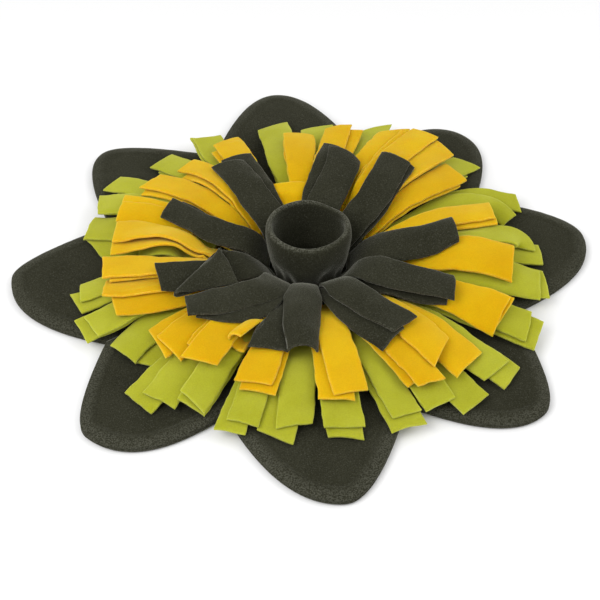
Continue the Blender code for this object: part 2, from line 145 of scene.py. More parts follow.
fleeceSizes = {
    # where each noise, 0 to 1, starts and ends its change of colour
    "blotchRange": (0.3, 0.7), "pillRange": (0.35, 0.62), "paintedHighlightRange": (0.42, 0.6),
    "pillDistance": 0.0004, "fibreDistance": 0.0003, "scatterDistance": 0.005,
    "roughness": 1.0, "specular": 0.0,
}


def fleeceMaterial(name, look):
    # soft blotches and lint in the colour, a speckled pale painted highlight at edges and rims,
    # pills and fibres in the bump, and sheen for the nap
    material = bpy.data.materials.new(name)
    material.use_nodes = True
    tree = material.node_tree
    shader = tree.nodes["Principled BSDF"]
    setInputs(shader, {
        "Roughness": fleeceSizes["roughness"], "Specular IOR Level": fleeceSizes["specular"],
        "Sheen Weight": look["sheen"], "Sheen Roughness": look["sheenRoughness"],
        "Sheen Tint": (*look["sheenTint"], 1), "Subsurface Weight": look["scatter"],
        "Subsurface Radius": look["scatterRadius"],
        "Subsurface Scale": fleeceSizes["scatterDistance"],
    })
    place = tree.nodes.new("ShaderNodeTexCoord")

    def noise(scale, detail):
        node = tree.nodes.new("ShaderNodeTexNoise")
        setInputs(node, {"Scale": scale, "Detail": detail})
        tree.links.new(place.outputs["Object"], node.inputs["Vector"])
        return node.outputs["Fac"]

    def ramp(factor, ends, *colours):
        node = tree.nodes.new("ShaderNodeValToRGB")
        for mark, at, colour in zip(node.color_ramp.elements, ends, colours):
            mark.position = at
            mark.color = (*colour, 1)
        tree.links.new(factor, node.inputs["Fac"])
        return node.outputs["Color"]

    def mix(kind, factor, first, second):
        # mixes values or outputs of nodes. Inputs 6 and 7 and output 2 are colours
        node = tree.nodes.new("ShaderNodeMix")
        node.data_type = "RGBA"
        node.blend_type = kind
        for at, given in ((0, factor), (6, first), (7, second)):
            if isinstance(given, bpy.types.NodeSocket):
                tree.links.new(given, node.inputs[at])
            else:
                node.inputs[at].default_value = given
        return node.outputs[2]

    def bump(strength, distance, height):
        node = tree.nodes.new("ShaderNodeBump")
        setInputs(node, {"Strength": strength, "Distance": distance})
        tree.links.new(height, node.inputs["Height"])
        return node

    def grey(value):
        return (value, value, value)

    blotches = ramp(noise(look["blotch"], 3.0), fleeceSizes["blotchRange"],
                    look["deep"], look["light"])
    pills = noise(look["pill"], 2.0)
    grain = ramp(pills, fleeceSizes["pillRange"], grey(look["pillShade"]), grey(1))
    colour = mix("MULTIPLY", 1.0, blotches, grain)
    fleckTo = look["fleckFrom"] + look["fleckSoftness"]
    flecks = ramp(noise(look["fleck"], 1.0), (look["fleckFrom"], fleckTo), grey(0), grey(1))
    colour = mix("MIX", flecks, colour, (*look["fleckColour"], 1))
    # painted highlight: a speckled pale colour, mixed in by the per-point value where edges and
    # rims catch the light
    edges = tree.nodes.new("ShaderNodeAttribute")
    edges.attribute_name = "paintedHighlight"
    low, high = look["paintedHighlightSpeckle"]
    highlightSpeckle = ramp(noise(look["paintedHighlight"], 1.0), fleeceSizes["paintedHighlightRange"], grey(low), grey(high))
    highlightMask = mix("MULTIPLY", 1.0, edges.outputs["Fac"], highlightSpeckle)
    colour = mix("MIX", highlightMask, colour, (*look["paintedHighlightColour"], 1))
    tree.links.new(colour, shader.inputs["Base Color"])
    coarse = bump(look["pillBump"], fleeceSizes["pillDistance"], pills)
    fine = bump(look["fibreBump"], fleeceSizes["fibreDistance"], noise(look["fibre"], 2.0))
    tree.links.new(coarse.outputs["Normal"], fine.inputs["Normal"])
    tree.links.new(fine.outputs["Normal"], shader.inputs["Normal"])
    return material


# noise scales are per metre, colours are linear
darkLook = {
    "deep": (0.0275, 0.0275, 0.017), "light": (0.037, 0.037, 0.024), "blotch": 26.0,
    "pill": 1100.0, "pillShade": 0.6, "pillBump": 0.6, "fibre": 2200.0, "fibreBump": 0.4,
    "fleck": 1000.0, "fleckFrom": 0.56, "fleckSoftness": 0.2,
    "fleckColour": (0.055, 0.055, 0.041),
    # painted highlight on edges and rims: noise scale, speckle range and its pale colour
    "paintedHighlight": 900.0, "paintedHighlightSpeckle": (0.0, 0.75), "paintedHighlightColour": (0.115, 0.115, 0.09),
    "sheen": 0.42, "sheenRoughness": 0.32, "sheenTint": (0.8, 0.8, 0.68),
    "scatter": 0.0, "scatterRadius": (1.0, 0.7, 0.4),
}
yellowLook = {
    "deep": (0.58, 0.33, 0.002), "light": (0.66, 0.405, 0.004), "blotch": 22.0,
    "pill": 900.0, "pillShade": 0.93, "pillBump": 0.35, "fibre": 2400.0, "fibreBump": 0.3,
    "fleck": 130.0, "fleckFrom": 0.86, "fleckSoftness": 0.03, "fleckColour": (0.16, 0.11, 0.02),
    # painted highlight on edges and rims: noise scale, speckle range and its pale colour
    "paintedHighlight": 700.0, "paintedHighlightSpeckle": (0.25, 0.8), "paintedHighlightColour": (0.76, 0.53, 0.075),
    "sheen": 0.18, "sheenRoughness": 0.5, "sheenTint": (1.0, 0.9, 0.6),
    "scatter": 0.7, "scatterRadius": (1.0, 0.45, 0.06),
}
greenLook = {
    **yellowLook,
    "deep": (0.34, 0.345, 0.018), "light": (0.41, 0.415, 0.034), "blotch": 25.0,
    "pillShade": 0.92, "fleckFrom": 0.88, "fleckColour": (0.1, 0.11, 0.02),
    # pale colour of the painted highlight on the green edges
    "paintedHighlightColour": (0.48, 0.5, 0.095), "sheenTint": (0.97, 1.0, 0.7),
    "scatter": 0.6, "scatterRadius": (0.8, 0.9, 0.12),
}
darkFleece = fleeceMaterial("darkFleece", darkLook)
yellowFleece = fleeceMaterial("yellowFleece", yellowLook)
greenFleece = fleeceMaterial("greenFleece", greenLook)
print("fleece materials made")


# Padded middle and petals

Petal = namedtuple("Petal", "tip reach roundLeft roundRight notch notchReach line")
petalSizes = {
    "padRadius": 0.118, "clearance": 0.0004, "columns": 112, "rows": 56, "crowding": 2.4,
    "seamHeight": 0.004, "seamInset": 0.0009, "topRoll": 0.0135, "bottomRoll": 0.005,
    "topEdge": 0.0054, "bottomEdge": 0.0026, "shoulder": 2.2,
    # a line inside the rim: its distance from it, depth, breadth, and the swelling outside it
    "lineFrom": 0.0135, "lineDepth": 0.0007, "lineBreadth": 0.0018,
    "lineLuck": (0.8, 0.5, 0.03), "swellFrom": 0.0095, "swell": 0.8, "swellBreadth": 0.0025,
    # ranges and bands are distances from the rim
    "hollowSizes": (0.045, 0.018), "hollowRange": (0.004, 0.02), "sag": 0.0009,
    "pucker": 0.00018, "puckerSize": 0.006, "puckerBand": (0.006, 0.006),
    "seamValley": 0.0016, "valleyBreadth": 0.006, "seamHalf": 0.0003,
    # painted highlight at the rim: band where it fades inwards, its least strength, its share from
    # the line, and its strength on the seam
    "paintedHighlightRange": (0.0042, 0.014), "paintedHighlightLeast": 0.2, "paintedHighlightOfLine": 0.35, "seamHighlight": 0.5,
    "middleCells": 60, "middleRoll": 0.0036, "middleSag": 0.0004, "middleLift": 0.0001,
    # azimuth and reach (mm) of the tip, roundings of its two sides (mm), then the notch, and
    # how much the line inside the rim and the painted highlight at the rim show
    "petals": [
        Petal(11, 248, 31, 51, 33, 181, 0.35),
        Petal(54, 248, 39, 43, 73, 176, 0.2),
        Petal(97, 267, 32, 39, 118, 186, 0.2),
        Petal(139, 257, 32, 24, 161, 186, 0.2),
        Petal(182, 254, 56, 22, 208, 187, 0.7),
        Petal(228, 255, 56, 21, 249, 180, 1),
        Petal(276, 256, 24, 48, 296, 175, 1),
        Petal(318, 247, 24, 44, 343, 179, 0.8),
    ],
}


def petalOutline(petal, right, columns):
    # each side is a quadratic Bezier curve from its notch to the tip, whose control point
    # stands beside the tip, square to the tip's azimuth
    half = columns // 2
    trim = petalSizes["clearance"] / 2
    tip = polar(petal.tip, petal.reach * mm)
    turn = np.radians(petal.tip)
    across = np.array([-np.sin(turn), np.cos(turn)])

    def side(notch, reach, away, control, count):
        start = polar(notch + np.degrees(away * trim / (reach * mm)), reach * mm)
        t = np.linspace(0, 1, count)[:, None]
        return (1 - t) ** 2 * start + 2 * t * (1 - t) * control + t * t * tip

    rising = side(right.notch, right.notchReach, 1, tip - across * petal.roundRight * mm, half + 1)
    falling = side(petal.notch, petal.notchReach, -1, tip + across * petal.roundLeft * mm,
                   columns - half)
    return np.concatenate([rising, falling[-2::-1]])


def buildPetal(number, petal, right):
    # plan: straight lines from the rim of the middle to the outline. Height above: a quarter
    # round from the seam up to the filling, less a groove inside the seam and soft hollows
    sizes = petalSizes
    columns, rows = sizes["columns"], sizes["rows"]
    outer = pointsAt(petalOutline(petal, right, columns * 4), np.linspace(0, 1, columns))
    radius = sizes["padRadius"] + sizes["clearance"]
    trim = np.degrees(sizes["clearance"] / 2 / radius)
    span = (petal.notch - right.notch) % 360 - 2 * trim
    inner = polar(right.notch + trim + span * np.linspace(0, 1, columns), radius)
    share = 1 - (1 - np.linspace(0, 1, rows)) ** sizes["crowding"]
    plan = inner + (outer - inner) * share[:, None, None]
    rimGap = np.stack([np.linalg.norm(row[:, None] - outer[None], axis=2).min(axis=1)
                       for row in plan])
    sideGap = np.minimum(np.linalg.norm(plan - plan[:, :1], axis=2),
                         np.linalg.norm(plan - plan[:, -1:], axis=2))

    climb = 1 - np.clip(rimGap / sizes["topRoll"], 0, 1)
    rise = np.sqrt(1 - climb ** sizes["shoulder"])
    top = sizes["topEdge"] + (petalHeight - sizes["topEdge"]) * rise
    mean, swing, size = sizes["lineLuck"]
    line = petal.line * (mean + swing * softNoise(plan, size, number + 60)) * sizes["lineDepth"]
    top -= line * bell(rimGap, sizes["lineFrom"], sizes["lineBreadth"])
    top += sizes["swell"] * line * bell(rimGap, sizes["swellFrom"], sizes["swellBreadth"])
    inside = smoothStep(rimGap, *sizes["hollowRange"])
    broad, narrow = sizes["hollowSizes"]
    hollow = softNoise(plan, broad, number) + 0.5 * softNoise(plan, narrow, number + 20)
    top -= sizes["sag"] * inside * (0.6 + 0.7 * hollow)
    top -= sizes["seamValley"] * bell(sideGap, 0, sizes["valleyBreadth"]) * rise
    pucker = softNoise(plan, sizes["puckerSize"], number + 40)
    top += sizes["pucker"] * pucker * bell(rimGap, *sizes["puckerBand"])
    under = 1 - np.clip(rimGap / sizes["bottomRoll"], 0, 1)
    bottom = sizes["bottomEdge"] * (1 - np.sqrt(1 - under ** 2))

    outward = np.gradient(outer, axis=0)
    outward = unit(np.stack([outward[:, 1], -outward[:, 0]], -1))
    seam = outer - outward * sizes["seamInset"]
    plan = np.concatenate([plan, seam[None]])
    seamHeight = np.full((1, columns), sizes["seamHeight"])
    top = np.concatenate([top, seamHeight + sizes["seamHalf"]])
    bottom = np.concatenate([bottom, seamHeight - sizes["seamHalf"]])
    upper = np.dstack([plan, top])
    lower = np.dstack([plan, bottom])
    # painted highlight: a pale colour, strongest by the rim and on the seam
    paintedHighlight = 1 - smoothStep(rimGap, *sizes["paintedHighlightRange"])
    paintedHighlight *= sizes["paintedHighlightLeast"] + sizes["paintedHighlightOfLine"] * petal.line
    paintedHighlight = np.concatenate([paintedHighlight, np.full((1, columns), sizes["seamHighlight"])])
    piece = addPiece(f"petal{number}", [closedSheet(upper, lower)], darkFleece,
                     [f"petal_{number}"], [paintedHighlight, paintedHighlight])


def buildMiddle():
    # a square grid drawn out to a disc: x = u * sqrt(1 - v^2 / 2), y = v * sqrt(1 - u^2 / 2);
    # the edge is a half round
    sizes = petalSizes
    line = np.sin(np.linspace(-np.pi / 2, np.pi / 2, sizes["middleCells"] + 1))
    u, v = np.meshgrid(line, line, indexing="ij")
    plan = np.stack([u * np.sqrt(1 - v ** 2 / 2), v * np.sqrt(1 - u ** 2 / 2)], -1)
    rimGap = (1 - np.linalg.norm(plan, axis=2)) * sizes["padRadius"]
    plan = plan * sizes["padRadius"] + ringMiddle
    climb = 1 - np.clip(rimGap / sizes["middleRoll"], 0, 1)
    rise = np.sqrt(np.maximum(1 - climb ** 2, 0))
    half = padHeight / 2
    top = half + half * rise + sizes["middleSag"] * (softNoise(plan, 0.02, 60) - 1) * rise
    pad = closedSheet(np.dstack([plan, top + sizes["middleLift"]]),
                      np.dstack([plan, half - half * rise]))
    piece = addPiece("middlePad", [pad], darkFleece, ["base_pad"],
                     np.zeros(top.size * 2))


for number, petal in enumerate(petalSizes["petals"]):
    buildPetal(number + 1, petal, petalSizes["petals"][number - 1])
buildMiddle()
print("petals and middle made")


# Tufts

class Ground:
    # height of all that lies in place so far, on a square grid seen from above

    cell = 0.001
    half = 0.29

    def __init__(self, height=None):
        cells = int(2 * self.half / self.cell)
        self.height = np.full((cells, cells), petalHeight) if height is None else height.copy()
        self.soften()

    def cover(self, points):
        # raises the cells that these points lie in, and evens the result out
        at = ((points[..., :2] + self.half) / self.cell).astype(int)
        np.maximum.at(self.height, (at[..., 0], at[..., 1]), points[..., 2])
        self.soften()

    def soften(self):
        # highest cell within two cells, then the mean over the next ones, twice
        soft = self.height
        for axis in (0, 1):
            soft = np.max([np.roll(soft, step, axis) for step in (-2, -1, 0, 1, 2)], axis=0)
        for axis in (0, 1, 0, 1):
            soft = (np.roll(soft, -1, axis) + soft + np.roll(soft, 1, axis)) / 3
        self.soft = soft

    def under(self, points):
        # height between the four nearest cells
        scaled = (points[..., :2] + self.half) / self.cell - 0.5
        low = scaled.astype(int)
        part = scaled - low
        x, y = low[..., 0], low[..., 1]
        near = self.soft[x, y] * (1 - part[..., 1]) + self.soft[x, y + 1] * part[..., 1]
        far = self.soft[x + 1, y] * (1 - part[..., 1]) + self.soft[x + 1, y + 1] * part[..., 1]
        return near * (1 - part[..., 0]) + far * part[..., 0]


Tuft = namedtuple("Tuft", "root upper lower")
Layer = namedtuple("Layer", "tip reach width cut bow", defaults=(28, 0, 0))
tuftSizes = {
    "fleece": 0.0028, "gap": 0.0004, "rows": 58, "columns": 11,
    # rows of points this far from a cut edge, the share of the thickness there, and how far
    # from the tip the evenly spaced rows end
    "edgeSteps": (0.0, 0.0006, 0.0016), "edgeThickness": (0.5, 0.86, 1.0),
    # strength of the painted highlight on the thinned cut edges of the strips
    "edgeLead": 0.00288, "edgeHighlight": 0.6,
    # the sewn fold, heights of its two layers, and the band below it
    "lowerRoot": 0.01155, "upperRoot": 0.01615, "foldSteps": 7, "foldTop": 0.018,
    "rootGap": 0.001, "rootWidth": 0.95,
    "bandFoot": 0.0079, "bandThickness": 0.0019, "bandGap": 0.6, "bandOver": 0.001,
    "bandColumns": 24, "bandRows": 5,
    # centre lines, and how the sides of a layer are drawn back to level
    "humpSkew": 0.75, "pathPoints": 161, "pathTurns": 160, "steepFrom": 0.5, "levelling": 0.4,
    # lumps across a layer and waves of its edges: heights, then sizes, of both noises
    "wander": 0.0017, "fineWander": 0.00068, "wanderSizes": (0.03, 0.012),
    "wobble": 0.0006, "fineWobble": 0.0003, "wobbleSizes": (0.011, 0.005),
    # where, on a layer of length 1, it stops pointing straight out and other things set in
    "outwardRange": (0, 0.12), "rollRange": (0.1, 0.7), "curlRange": (0, 0.9),
    "wanderRange": (0.1, 0.6), "cutRange": (0.72, 1), "endRange": (0.97, 1),
    # laying: layers keep their height up to heldLength, and tufts of a ring lie on each other
    # past freeLength
    "heldLength": 0.004, "freeLength": 0.03, "turns": 90, "evening": 0.9, "weight": 0.004,
    "stiffness": 0.35,
}
greenRing = {
    "name": "green", "material": greenFleece, "slot": "fleece_green", "seed": 0, "inner": 0.08,
    "outer": 0.085, "tipHeight": 0.0112, "hump": 0.008, "perLength": 3,
    # degrees that the edges of a layer turn down and its left edge rolls up, as one value or
    # as several spread over its length, with their chance parts
    "form": {"curl": 8, "curlLuck": 14, "roll": 0, "rollLuck": 5, "fullWidthAt": 0.38},
    # layers that differ. path: azimuth, radius and height of points of a centre line.
    # fullWidthAt: share of the length where a strip has opened out from its root. spread: how
    # much wider than its root it may be. rests: False for one that isn't laid on the others
    "upperForms": {
        1: {"path": [(13, 123, 19), (10, 134, 22), (9, 150, 26), (8, 167, 27), (7, 180, 25),
                     (6, 188, 18), (4.5, 184, 12)], "roll": (-4, -8), "curl": 4},
        2: {"path": [(32, 146, 18), (29, 162, 20.5), (26, 174, 22), (23, 184, 18), (18, 188, 13)],
            "roll": (4, 8), "curl": 12, "width": 20},
        8: {"path": [(117, 130, 19), (120, 168, 20), (118, 201, 15.5)]},
        13: {"path": [(180, 106, 20), (180.5, 112, 28), (180.5, 123, 32), (179.5, 134, 28),
                      (178.5, 146, 16)], "roll": (0, -12), "curl": 4, "fullWidthAt": 0.6,
             "width": 16},
    },
    "lowerForms": {
        2: {"path": [(34, 156, 13), (31, 181, 14), (27, 196, 13), (24, 208, 12)], "roll": 4},
        8: {"path": [(118, 130, 14), (121, 168, 15), (118.5, 208, 12)]},
        13: {"path": [(178, 112, 12), (176, 138, 12)]},
    },
    # azimuth of the sewn fold, then for each layer: azimuth of the tip, None where a path
    # gives it, reach, width, angle of the cut end, bow of the middle. Degrees and mm
    "tufts": [
        Tuft(1, Layer(3, 170), Layer(4, 202, 27, 5)),
        Tuft(14, Layer(None, 188, 26), Layer(13, 160, 26)),
        Tuft(28, Layer(None, 189, 18, -10), Layer(None, 205, 20, -25)),
        Tuft(43, Layer(44.4, 208, 26, -20), Layer(44.5, 194)),
        Tuft(57, Layer(57, 184), Layer(57, 190)),
        Tuft(70, Layer(72, 207, 28, -50), Layer(72, 195)),
        Tuft(84, Layer(87.3, 202, 31, -22), Layer(87, 190)),
        Tuft(98, Layer(99.4, 206, 31, -22), Layer(99, 195)),
        Tuft(112, Layer(None, 199, 27, 4), Layer(None, 208, 24, 6)),
        Tuft(126, Layer(132.8, 201, 27, 4), Layer(132, 192)),
        Tuft(140, Layer(147.8, 212, 22, 13), Layer(147, 200)),
        Tuft(152, Layer(157.3, 204, 27, -23), Layer(156, 194)),
        Tuft(164, Layer(165.9, 200, 34, -2), Layer(173, 188, 29, -33)),
        Tuft(177, Layer(None, 139, 14), Layer(None, 138, 18)),
        Tuft(189, Layer(191.5, 195, 24, 9), Layer(194, 200, 26, -12)),
        Tuft(201, Layer(205, 195, 27, -5), Layer(204, 203, 30, -1)),
        Tuft(215, Layer(216.2, 185, 32, 14, -3), Layer(223, 176, 22, -18)),
        Tuft(229, Layer(234.5, 200, 30, -1), Layer(230.6, 209, 32, 7)),
        Tuft(241, Layer(242, 191, 24, 14), Layer(241.9, 193, 24)),
        Tuft(254, Layer(254.8, 194, 25), Layer(252.4, 201, 25, -4)),
        Tuft(267, Layer(266.6, 190, 28, -15), Layer(262.5, 199, 30, 18)),
        Tuft(279, Layer(278, 193, 31, 5), Layer(278, 200, 27, 13)),
        Tuft(292, Layer(292.7, 194, 24, 3), Layer(292, 203, 28, 2)),
        Tuft(306, Layer(301, 196, 27), Layer(308, 209, 28, -4)),
        Tuft(320, Layer(318, 199, 30, 4), Layer(320, 210, 29, -8)),
        Tuft(334, Layer(335.5, 197, 32, -9), Layer(335, 207, 33, -4)),
        Tuft(348, Layer(351, 197, 34, -1), Layer(353, 203, 35, -5)),
    ],
    "late": [18],
}
yellowRing = {
    "name": "yellow", "material": yellowFleece, "slot": "fleece_yellow", "seed": 100,
    "inner": 0.054, "outer": 0.059, "tipHeight": 0.0262, "hump": 0.0105, "perLength": 4,
    "form": {"curl": 10, "curlLuck": 12, "roll": 0, "rollLuck": 4, "fullWidthAt": 0.38},
    "upperForms": {
        0: {"roll": (3, 5)},
        7: {"path": [(108, 63, 26), (105, 72, 35), (102, 86, 37)], "curl": 6, "fullWidthAt": 0.5,
            "spread": 2.0},
        10: {"roll": (3, 7)},
        12: {"path": [(180, 74, 20), (182, 88, 26), (180, 96, 33), (178, 106, 40), (176, 118, 42),
                      (174, 138, 38.5), (172.5, 168, 30)], "roll": (6, 22, 14, 4), "curl": 6},
        13: {"path": [(193, 80, 26), (196, 105, 35), (195, 125, 36), (191, 145, 34),
                      (188.6, 174, 30)], "roll": (0, -4)},
        16: {"path": [(233, 77, 33), (235, 92, 36), (237, 106, 37), (237.5, 124, 37),
                      (238, 142, 35.5), (238.2, 162, 32)], "curl": 6},
        17: {"path": [(244, 74, 24), (241, 89, 27), (242, 107, 31), (242, 123, 35.5),
                      (242, 134, 36.5)], "curl": (20, 60, 105, 115), "roll": (10, 45, 88, 92),
             "width": 34, "spread": 1.8, "rests": False},
        22: {"roll": (8, 18)},
        23: {"roll": (8, 20)},
    },
    "lowerForms": {
        0: {"roll": (-2, -6)},
        7: {"path": [(109, 66, 22), (106, 80, 28)]},
        12: {"path": [(181, 76, 15), (183, 89, 19), (181, 98, 27), (179.5, 108, 35),
                      (179, 122, 38), (178, 140, 34), (177, 168, 27)], "roll": (6, 28, 22, 4),
             "curl": 6},
        13: {"path": [(193, 80, 21), (196, 105, 29), (194, 125, 31), (191, 145, 30),
                      (190, 168, 27)]},
        22: {"roll": (8, 14)},
        23: {"roll": (8, 16)},
    },
    "tufts": [
        Tuft(18, Layer(17.5, 169, 28, 14), Layer(16, 169.5, 28, 10)),
        Tuft(32, Layer(39.3, 174, 31, 9), Layer(39, 167, 28, 10)),
        Tuft(44, Layer(48.7, 193, 26, 21), Layer(50, 183)),
        Tuft(57, Layer(56, 197, 26, -6), Layer(59, 192, 24, -9)),
        Tuft(70, Layer(65, 193, 24, -40), Layer(63.5, 178, 26)),
        Tuft(83, Layer(80.7, 182, 25, -12), Layer(77, 180, 24, -14)),
        Tuft(96, Layer(92.7, 168, 29, 2), Layer(93, 159)),
        Tuft(109, Layer(None, 93, 34, -8), Layer(None, 80)),
        Tuft(122, Layer(115.5, 177, 28, -14), Layer(117, 167)),
        Tuft(136, Layer(133.2, 163, 24, 8, -2.9), Layer(134, 153, 26, 0, -2)),
        Tuft(150, Layer(147.2, 168, 29, 16, -3), Layer(149, 166, 28, 12, -3)),
        Tuft(164, Layer(163, 173, 22, -6), Layer(159, 176, 25, -16)),
        Tuft(178, Layer(None, 168, 31, -13), Layer(None, 168, 31, -10)),
        Tuft(191, Layer(None, 174, 29, -10), Layer(None, 168)),
        Tuft(205, Layer(195.5, 175, 24, -14, 5), Layer(203, 173, 24, -25, 6)),
        Tuft(219, Layer(227.4, 163, 30, 11), Layer(222.8, 164, 38, 19)),
        Tuft(232, Layer(None, 163, 29, -14), Layer(236, 151)),
        Tuft(246, Layer(None, 129, 30), Layer(246, 100, 25)),
        Tuft(259, Layer(254.7, 164, 30, -2), Layer(256.4, 169, 29)),
        Tuft(279, Layer(280.8, 170, 28, -7), Layer(277, 173, 28, 7)),
        Tuft(295, Layer(301, 183, 23, 10), Layer(300, 175)),
        Tuft(311, Layer(309.1, 165, 33, -29), Layer(313.2, 183, 34, -16, 1.5)),
        Tuft(326, Layer(332.3, 176, 38, -8, 1.5), Layer(334, 177, 36, 0, 1.5)),
        Tuft(344, Layer(352.8, 173, 40, -14, 3), Layer(355, 173, 38, -6, 3)),
    ],
    "late": [2, 3, 12, 16, 17],
}
darkRing = {
    "name": "dark", "material": darkFleece, "slot": "fleece_dark", "seed": 200, "inner": 0.031,
    "outer": 0.036, "perLength": 2,
    "form": {"curl": 22, "curlLuck": 8, "roll": 0, "rollLuck": 3, "fullWidthAt": 0.1,
             "width": 29.5},
    "upperForms": {
        0: {"path": [(357, 47, 32), (354, 62, 41), (355.5, 85, 43), (359, 104, 42),
                     (3.5, 126, 40)], "roll": (8, 16, 24), "width": 34, "curl": (30, 30),
            "cut": 12},
        1: {"path": [(40, 47, 31), (41, 62, 39), (45, 85, 42.5), (50, 112, 42.5), (53, 132, 41)],
            "roll": (2, 0), "cut": 16},
        2: {"path": [(77, 48, 31), (75, 61, 38), (73, 87, 42), (73, 108, 42), (74.5, 126, 39)],
            "roll": (0, 3), "cut": 22, "width": 31, "curl": (24, 34)},
        3: {"path": [(129, 48, 30), (129.5, 56, 35), (129, 70, 40), (126, 97, 42), (124, 129, 39)],
            "roll": (-3, -4)},
        4: {"path": [(171, 45, 30), (172, 55, 36), (171, 74, 38.5), (167, 96, 40), (161, 130, 39)],
            "roll": (-10, -14, -12, -15), "cut": -12, "width": 25, "curl": (16, 16)},
        5: {"path": [(209, 47, 31), (208.5, 64, 39), (208.5, 84, 42), (208.5, 98, 43.5),
                     (208.5, 106, 45), (208.5, 108, 47), (208.5, 106, 49.5), (210, 97, 50.5),
                     (216.8, 79, 50.5)], "width": 28, "roll": (-6, -12, -20, -8, -18, 34, 16),
            "curl": (6, 6, 0, 0, -6, -10), "fullWidthAt": 0.15, "cut": 30,
            "slant": (61, 0.69, 0.2), "rests": False},
        6: {"path": [(239, 49, 34), (243, 65, 40), (242, 75, 43.5), (237, 88, 46), (232, 102, 47),
                     (226, 116, 46.5), (221, 130, 45)], "roll": (-14, -12, -5, 12),
            "curl": (4, 10, 6), "cut": -4, "width": 27, "fullWidthAt": 0.16, "spread": 2.0,
            "rests": False},
        7: {"path": [(266, 46, 32), (266, 60, 38), (266.5, 90, 40.5), (267, 113, 38),
                     (268, 133, 34)], "curl": (30, 50, 80), "width": 33},
        8: {"path": [(295, 46, 31), (295.5, 56, 38), (297, 75, 42), (301, 103, 42),
                     (305, 132, 40)], "roll": (8, 14, 14), "curl": (20, 10, -8), "width": 28,
            "cut": 8},
        9: {"path": [(325, 47, 33), (325, 62, 41), (325.5, 86, 45), (329, 110, 45),
                     (332.5, 134, 42)], "roll": (8, 13, 8, 0), "cut": -8, "width": 29},
    },
    "lowerForms": {
        0: {"path": [(358, 50, 27), (1, 80, 33), (4, 104, 33), (6.5, 124, 31)], "roll": (4, 6),
            "width": 30},
        1: {"path": [(40, 50, 27), (42, 70, 33), (48, 104, 36), (51.5, 136, 35.5)], "roll": (2, 0),
            "cut": 16},
        2: {"path": [(80, 50, 27), (82, 68, 32), (80, 96, 36), (78.5, 137, 35)], "cut": 20},
        3: {"path": [(126, 50, 27), (123, 76, 35), (119, 106, 37), (118, 140, 34.5)],
            "roll": (-2, -4), "cut": 4},
        4: {"path": [(170, 50, 25), (166, 78, 31), (162, 101, 33), (159, 124, 32)], "width": 23,
            "curl": 8},
        5: {"path": [(208, 48, 27), (208, 69, 36), (208, 91, 38.5), (206, 113, 41),
                     (202, 133, 41)], "width": 26, "roll": (-14, -20, -4), "curl": 10, "cut": -14},
        6: {"path": [(242, 46, 26), (243, 59, 33), (245, 79, 39), (243, 99, 41), (234, 110, 41),
                     (223, 120, 40)], "roll": (0, -12, -10), "curl": (0, 6, -8), "cut": -10,
            "width": 26, "spread": 1.6, "rests": False},
        7: {"path": [(262, 48, 26), (261, 70, 31), (260, 91, 33), (258, 111, 32), (256, 132, 30)],
            "width": 31, "roll": (0, -6), "curl": (50, 40, 12), "cut": -16},
        8: {"path": [(292, 48, 27), (291.5, 66, 33), (294, 98, 34), (299, 136, 32)],
            "roll": (6, 8), "width": 28, "cut": -6},
        9: {"path": [(323, 50, 27), (323.5, 80, 33), (328, 106, 32), (332, 130, 31)],
            "roll": (4, 8), "width": 27},
    },
    "tufts": [
        Tuft(358, Layer(None, 128, 37), Layer(None, 121)),
        Tuft(40, Layer(None, 132, 34), Layer(None, 126)),
        Tuft(78, Layer(None, 129, 38), Layer(None, 122)),
        Tuft(128, Layer(None, 134, 40, 14), Layer(None, 127)),
        Tuft(174, Layer(None, 127, 36), Layer(None, 120)),
        Tuft(208, Layer(None, 125, 36), Layer(None, 131)),
        Tuft(237, Layer(None, 128, 38), Layer(None, 119)),
        Tuft(266, Layer(None, 132, 31), Layer(None, 131)),
        Tuft(296, Layer(None, 132, 38), Layer(None, 132)),
        Tuft(323, Layer(None, 134, 35), Layer(None, 126)),
    ],
    "late": [6],
}


def rootOf(ring, number):
    # half width (degrees) of a tuft's sewn fold: its neighbours leave it this much room
    roots = [tuft.root for tuft in ring["tufts"]]
    before = (roots[number] - roots[number - 1]) % 360
    after = (roots[(number + 1) % len(roots)] - roots[number]) % 360
    gap = np.degrees(tuftSizes["rootGap"] / ring["outer"])
    width = ring["tufts"][number].upper.width
    full = np.degrees(width * mm * tuftSizes["rootWidth"] / ring["outer"])
    return (min(before, after, full + gap) - gap) / 2


def smoothLine(points, share):
    # points at these shares of the length of a line through the given points, rounded at its
    # bends by repeated averaging
    line = pointsAt(np.array(points), np.linspace(0, 1, tuftSizes["pathPoints"]))
    for turn in range(tuftSizes["pathTurns"]):
        line[1:-1] = (line[:-2] + 2 * line[1:-1] + line[2:]) / 4
    return pointsAt(line, share)


def sideVectors(along):
    # unit vectors to the left of a path: each is the last one made square to the path, and
    # drawn back towards level wherever the path isn't steep
    side = np.empty_like(along)
    last = np.array([-along[0, 1], along[0, 0], 0])
    for row, ahead in enumerate(along):
        last = last - ahead * last.dot(ahead)
        level = np.array([-ahead[1], ahead[0], 0])
        steep = 1 - np.linalg.norm(level)
        if steep < tuftSizes["steepFrom"]:
            level = level * np.sign(level.dot(last)) / (1 - steep)
            last += (level - last) * tuftSizes["levelling"]
        last = last / np.linalg.norm(last)
        side[row] = last
    return side


def formOf(ring, number, upper):
    return {**ring["form"], **ring["upperForms" if upper else "lowerForms"].get(number, {})}


